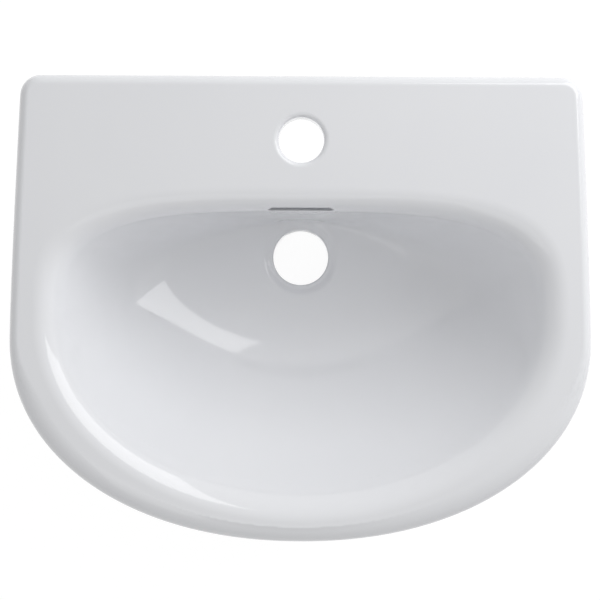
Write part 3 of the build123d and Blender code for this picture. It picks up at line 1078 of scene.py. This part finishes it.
@dataclass
class Casting:
    """The fired casting, one closed mesh with soft edges."""

    form: BasinForm = field(default_factory=BasinForm)
    step: float = 1.5
    quick_step: float = 3.0
    low: Triple = (0.0, -315.0, -138.0)
    high: Triple = (229.5, 54.0, 24.0)
    most_triangles: int = 180000
    reach: float = 0.35

    def _value(self, points: Array) -> Array:
        """The form's signed distance at points on either side of the middle."""
        return self.form.distance(np.abs(points[:, 0]), points[:, 1], points[:, 2])

    def _net(self, step: float) -> tuple[Array, Array]:
        """Meshes the right half's values and their mirror image together."""
        x, y, z = (np.arange(a, b + step, step) for a, b in zip(self.low, self.high))
        flat_x, flat_y = np.meshgrid(x, y, indexing="ij")
        plan = self.form.plan.distance(flat_x, flat_y)
        heights = [bowl.height(flat_x, flat_y) for bowl in (self.form.hollow, self.form.shell)]
        x3, y3, *known = (a[:, :, None] for a in (flat_x, flat_y, *plan, *heights))
        values = self.form.distance(x3, y3, z[None, None, :], tuple(known[:2]), tuple(known[2:]))
        values = np.concatenate([values[:0:-1], values])
        origin = np.array([-x[-1], y[0], z[0]])
        return surface_net(values, origin, step)

    def build(self) -> bpy.types.Object:
        """Makes the casting with its own normals and the share of bare biscuit at each vertex."""
        step = self.step
        points, faces = self._net(step)
        LOG.info("casting: %d faces before thinning", len(faces))
        made = make_mesh("basin_casting", points, faces)
        thin(made, self.most_triangles)
        points = settle(self._value, points_of(made.data), self.reach, 2, step * 0.4)
        low, high = (np.array(corner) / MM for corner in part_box("basin_body"))
        points = np.clip(points, low, high)
        slope = unit(slope_of(self._value, points, self.reach))
        made.data.vertices.foreach_set("co", (points * MM).astype(np.float32).ravel())
        made.data.update()
        set_normals(made.data, slope)
        share = made.data.attributes.new("bare", "FLOAT", "POINT")
        share.data.foreach_set("value", self.form.bare(points, slope).astype(np.float32))
        return made

    def dress(self, dresser: Dresser) -> None:
        """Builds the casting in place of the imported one."""
        dresser.new(self.build(), "basin", Slot.GLAZE, "basin_body")


@dataclass
class WorktopSeal:
    """The foam strip between the rim and the worktop: a flat section carried along the outline."""

    plan: RimPlan = field(default_factory=RimPlan)
    inset: float = 10.0
    half_width: float = 5.95
    thickness: float = 2.0
    end_y: float = -146.0
    end_round: float = 1.0
    squareness: float = 8.0
    columns: int = 32
    off_middle: float = 0.4
    end_rows: int = 6
    end_turn: float = 0.08
    end_skip: int = 3
    least_scale: float = 0.05
    fold_guard: float = 0.97

    def build(self) -> bpy.types.Object:
        """Carries a superellipse section along the outline.

        The section is |u / half width| ** n + |w / half thickness| ** n = 1.
        """
        path, outward = self.plan.path, self.plan.outward
        kept = (path[:, 0] > self.off_middle) & (path[:, 1] > self.end_y)
        path, outward, curve = path[kept], outward[kept], self.plan.curve[kept]
        mirror = np.array([-1.0, 1.0])
        path = np.concatenate([path[::-1] * mirror, path])
        outward = np.concatenate([outward[::-1] * mirror, outward])
        curve = np.concatenate([curve[::-1], curve])
        length = np.concatenate([[0.0], np.cumsum(np.hypot(*np.diff(path, axis=0).T))])
        turn = np.linspace(self.end_turn, math.pi / 2.0, self.end_rows)
        ends = self.end_round * (1.0 - np.cos(turn))
        inner = length[self.end_skip : -self.end_skip]
        rows = np.unique(np.concatenate([ends, inner, length[-1] - ends]))
        centre = np.stack([np.interp(rows, length, path[:, i]) for i in (0, 1)], 1)
        out = unit(np.stack([np.interp(rows, length, outward[:, i]) for i in (0, 1)], 1))
        tight = np.interp(rows, length, curve)
        from_end = np.minimum(np.minimum(rows, length[-1] - rows), self.end_round)
        scale = np.sqrt(1.0 - (1.0 - from_end / self.end_round) ** 2).clip(self.least_scale, 1.0)
        angle = np.linspace(0.0, 2.0 * math.pi, self.columns, endpoint=False)
        power = 2.0 / self.squareness
        across, up = (
            size * np.sign(way(angle)) * np.abs(way(angle)) ** power
            for size, way in ((self.half_width, np.cos), (self.thickness / 2.0, np.sin))
        )
        deepest = self.fold_guard / np.maximum(tight, TINY)
        depth = np.minimum(self.inset - across[None, :] * scale[:, None], deepest[:, None])
        flat = centre[:, None, :] - out[:, None, :] * depth[:, :, None]
        height = self.thickness / 2.0 + up[None, :] * scale[:, None]
        rings = np.concatenate([flat, height[:, :, None]], 2)
        points, faces = closed_tube(rings)
        return make_mesh("foam_strip", points * MM, faces)

    def dress(self, dresser: Dresser) -> None:
        """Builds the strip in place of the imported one."""
        dresser.new(self.build(), "basin", Slot.FOAM, "rim_seal")


@dataclass
class Clamp:
    """One worktop clamp: plug, threaded stud, washer, pressed arm with its pad, and wing nut."""

    side: str
    at: Pair
    heading: float
    arm_z: float = -42.5
    nut_z: float = -44.1
    stud_top: float = 0.0
    stud_low: float = -80.0
    thread_top: float = -18.0
    stud_radius: float = 3.0
    root_radius: float = 2.42
    pitch: float = 1.0
    root_flat: float = 0.12
    flank: float = 0.72
    tip_radius: float = 1.9
    tip_slope: float = 0.8
    stud_columns: int = 32
    rows_a_turn: int = 9
    shank_rows: int = 6

    def stud(self) -> bpy.types.Object:
        """A screw thread: the radius is a flat-topped zigzag of z / pitch - angle / one turn."""
        thread = np.arange(self.stud_low, self.thread_top, self.pitch / self.rows_a_turn)
        shank = np.linspace(self.thread_top, self.stud_top, self.shank_rows)
        z = np.concatenate([thread, shank])
        angle = np.linspace(0.0, 2.0 * math.pi, self.stud_columns, endpoint=False)
        phase = (z[:, None] / self.pitch - angle[None, :] / (2.0 * math.pi)) % 1.0
        crest = np.clip((np.abs(2.0 * phase - 1.0) - self.root_flat) / self.flank, 0.0, 1.0)
        radius = self.root_radius + (self.stud_radius - self.root_radius) * crest
        from_tip = np.minimum(z - self.stud_low, self.stud_top - z)
        radius = np.minimum(radius, (self.tip_radius + self.tip_slope * from_tip)[:, None])
        x = self.at[0] + radius * np.cos(angle)
        y = self.at[1] + radius * np.sin(angle)
        rings = np.stack([x, y, np.broadcast_to(z[:, None], radius.shape)], 2)
        points, faces = closed_tube(rings)
        return make_mesh("threaded_stud_" + self.side, points * MM, faces)

    def dress(self, dresser: Dresser, nut: Block, pad: Block) -> None:
        """Builds the clamp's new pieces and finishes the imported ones."""
        dresser.new(self.stud(), "basin", Slot.ZINC, "stud_" + self.side)
        made = nut.placed("winged_nut_" + self.side, (*self.at, self.nut_z), 0.0)
        dresser.new(made, "nut_" + self.side, Slot.ZINC, "wing_nut_" + self.side)
        made = pad.placed("rubber_pad_" + self.side, (*self.at, self.arm_z), self.heading)
        dresser.new(made, "arm_" + self.side, Slot.RUBBER, "clamp_pad_" + self.side)
        dresser.carried("clamp_arm_" + self.side, Slot.ZINC)
        dresser.carried("washer_" + self.side, Slot.ZINC)
        dresser.carried("fixing_plug_" + self.side, Slot.NYLON)


@dataclass
class WingNutForm:
    """A wing nut with its seat at height 0: a cone with two oval wings that reach below it."""

    height: float = 7.0
    base_radius: float = 6.5
    tip_radius: float = 5.2
    bore: float = 3.05
    wing_middle: float = 10.0
    wing_half: Pair = (5.5, 6.0)
    wing_z: float = -8.5
    wing_thickness: float = 2.6
    chamfer: float = 0.8
    seat_edge: float = 0.9
    tip_edge: float = 1.2
    wing_edge: float = 1.3
    root_edge: float = 0.5
    wing_join: float = 1.6
    hub_join: float = 1.8
    bore_edge: float = 0.3
    low: Triple = (-16.7, -7.5, -15.7)
    high: Triple = (16.7, 7.7, 1.1)
    step: float = 0.4

    def distance(self, points: Array) -> Array:
        """Signed distance: cone and wings melt together, less the bore and the room below."""
        x, y, z = points.T
        from_axis = np.hypot(x, y)
        up = (z + self.height) / self.height
        radius = self.tip_radius + (self.base_radius - self.tip_radius) * up
        hub = soft_meet(from_axis - radius, z, self.seat_edge)
        hub = soft_meet(hub, -self.height - z, self.tip_edge)
        half, middle = self.wing_thickness / 2.0, self.wing_middle
        along = (np.abs(x) - middle) / self.wing_half[0]
        oval = np.hypot(along, (z - self.wing_z) / self.wing_half[1])
        wing = soft_meet((oval - 1.0) * self.wing_half[0], np.abs(y) - half, self.wing_edge)
        edge = self.root_edge
        low, high = (-middle, -half, edge - self.height), (middle, half, -edge)
        root = box_distance(x, y, z, low, high, edge)
        body = soft_union(hub, soft_union(wing, root, self.wing_join), self.hub_join)
        room = np.maximum(from_axis - self.tip_radius, z + self.height)
        body = soft_cut(body, room, self.chamfer)
        flare = np.maximum(self.chamfer - np.minimum(-z, z + self.height), 0.0)
        return np.maximum(soft_cut(body, from_axis - self.bore - flare, self.bore_edge), z)

    def block(self) -> Block:
        """Meshes the nut."""
        return Block.of(self.distance, self.low, self.high, self.step)


@dataclass
class PadForm:
    """The rubber cap on an arm's upturned end: a rounded block, ribbed on top.

    Its sizes are in the arm's own frame, with the stud's axis at 0.
    """

    reach: float = 38.0
    top: float = 14.5
    foot: float = 6.5
    half_width: float = 3.25
    half_length: float = 10.0
    steel_half: Pair = (1.25, 8.0)
    cover: float = 2.0
    rib_spacing: float = 2.5
    rib_depth: float = 0.45
    rib_from: float = 1.5
    rib_over: float = 1.2
    edge: float = 1.1
    room_below: float = 5.0
    room_edges: Pair = (0.05, 0.3)
    low: Triple = (33.5, -11.3, 5.3)
    high: Triple = (42.5, 11.5, 15.7)
    step: float = 0.3

    def distance(self, points: Array) -> Array:
        """Signed distance to the block, less its ribs' grooves and the room for the steel."""
        x, y, z = points.T
        x = x - self.reach
        low = (-self.half_width, -self.half_length, self.foot)
        high = (self.half_width, self.half_length, self.top)
        block = box_distance(x, y, z, low, high, self.edge)
        groove = 0.5 - 0.5 * np.cos(2.0 * math.pi * y / self.rib_spacing)
        near_top = smooth_step((z - self.top + self.rib_from) / self.rib_over)
        block = block + self.rib_depth * groove * near_top
        low = (-self.steel_half[0], -self.steel_half[1], self.foot - self.room_below)
        high = (*self.steel_half, self.top - self.cover)
        corner, edge = self.room_edges
        return soft_cut(block, box_distance(x, y, z, low, high, corner), edge)

    def block(self) -> Block:
        """Meshes the pad."""
        return Block.of(self.distance, self.low, self.high, self.step)


@dataclass
class Studio:
    """Floor, lamps, white surround and the camera straight above."""

    eye: Triple = (-0.0004, -0.1232, 1.52)
    lens: float = 117.2
    roll: float = 0.3
    floor_z: float = -0.1356
    key_at: Triple = (0.95, 0.80, 0.90)
    key_size: Pair = (1.6, 1.25)
    key_power: float = 15.6
    fill_at: Triple = (-0.15, -0.62, 0.80)
    fill_size: Pair = (0.5, 0.5)
    fill_power: float = 0.5
    aim: Triple = (0.0, -0.14, 0.0)
    surround: float = 0.72
    zenith_drop: float = 0.43
    floor_glow: float = 0.93
    floor_colour: Colour = (0.80, 0.80, 0.80)
    floor_held: float = 0.8
    floor_half: float = 6.0
    sensor: float = 36.0

    def camera(self) -> None:
        """Stands the camera at the photograph's angle."""
        data = bpy.data.cameras.new("camera")
        data.lens = self.lens
        data.sensor_width = self.sensor
        made = bpy.data.objects.new("camera", data)
        made.location = self.eye
        made.rotation_euler = (0.0, 0.0, math.radians(self.roll))
        bpy.context.scene.collection.objects.link(made)
        bpy.context.scene.camera = made

    def softbox(self, name: str, at: Triple, size: Pair, power: float) -> None:
        """A rectangular lamp that faces the basin.

        Args:
            name: The lamp's name.
            at: Its place.
            size: Its width and height in metres.
            power: Its power in watts.
        """
        data = bpy.data.lights.new(name, "AREA")
        data.shape = "RECTANGLE"
        data.size, data.size_y = size
        data.energy = power
        made = bpy.data.objects.new(name, data)
        made.location = at
        way = Vector(self.aim) - Vector(at)
        made.rotation_euler = way.to_track_quat("-Z", "Y").to_euler()
        bpy.context.scene.collection.objects.link(made)

    @staticmethod
    def _seen(graph: Graph) -> Number:
        """1 for rays from the camera or a gloss or glass surface, 0 for the rest."""
        path = graph.node("LightPath")
        total = graph.number(path.outputs["Is Camera Ray"])
        for name in ("Is Glossy Ray", "Is Transmission Ray"):
            total = (total + path.outputs[name]).clamped()
        return total

    def world(self) -> None:
        """A surround that is white where it is seen, and lights the object softly.

        Its light falls from surround at the horizon by zenith_drop straight above.
        """
        bpy.context.scene.world = bpy.data.worlds.new("surround")
        graph = Graph(bpy.context.scene.world)
        direction = graph.node("TexCoord").outputs["Generated"]
        height = graph.number(graph.node("SeparateXYZ", None, i0=direction).outputs["Z"])
        soft = self.surround - height.clamped() * self.zenith_drop
        strength = soft + self._seen(graph) * (1.0 - soft)
        light = graph.out("Background", Color=WHITE, Strength=strength)
        graph.node("OutputWorld", None, Surface=light)

    def floor(self) -> None:
        """A floor that looks nearly white, takes the shadow and is clear from below."""
        graph = Graph.of_material("floor")
        seen = self._seen(graph)
        glow = graph.out("Emission", Color=WHITE, Strength=seen * self.floor_glow)
        plain = graph.out("BsdfDiffuse", Color=self.floor_colour)
        dark = graph.out("BsdfDiffuse", Color=BLACK)
        held = graph.out("MixShader", i0=seen * self.floor_held, i1=plain, i2=dark)
        above = graph.out("AddShader", i0=glow, i1=held)
        from_below = graph.node("NewGeometry").outputs["Backfacing"]
        clear = graph.out("BsdfTransparent")
        sided = graph.out("MixShader", i0=from_below, i1=above, i2=clear)
        graph.node("OutputMaterial", None, Surface=sided)
        half = self.floor_half
        flat = [(-half, -half), (half, -half), (half, half), (-half, half)]
        corners = np.array([(*place, self.floor_z) for place in flat])
        made = make_mesh("studio_floor", corners, np.array([[0, 1, 2, 3]]), False)
        made.data.materials.append(graph.owner)

    def build(self) -> None:
        """Makes the whole studio."""
        bpy.context.scene.view_settings.view_transform = "Standard"
        self.camera()
        self.softbox("softbox_back_right", self.key_at, self.key_size, self.key_power)
        self.softbox("softbox_front", self.fill_at, self.fill_size, self.fill_power)
        self.world()
        self.floor()


def main() -> None:
    """Builds and dresses the basin, and reports each piece."""
    logging.basicConfig(level=logging.INFO, format="%(name)s: %(message)s")
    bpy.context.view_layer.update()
    Studio().build()
    dresser = Dresser()
    casting = Casting()
    casting.dress(dresser)
    WorktopSeal(casting.form.plan).dress(dresser)
    nut, pad = WingNutForm().block(), PadForm().block()
    side, rear = casting.form.side_lug, casting.form.rear_lug
    left, rear_left = (-side[0], side[1]), (-rear[0], rear[1])
    places = ((*left, 180.0), (*rear_left, 90.0), (*rear, 90.0), (*side, 0.0))
    for name, (x, y, heading) in zip(SIDES, places):
        Clamp(name, (x, y), heading).dress(dresser, nut, pad)


if __name__ == "__main__":
    main()
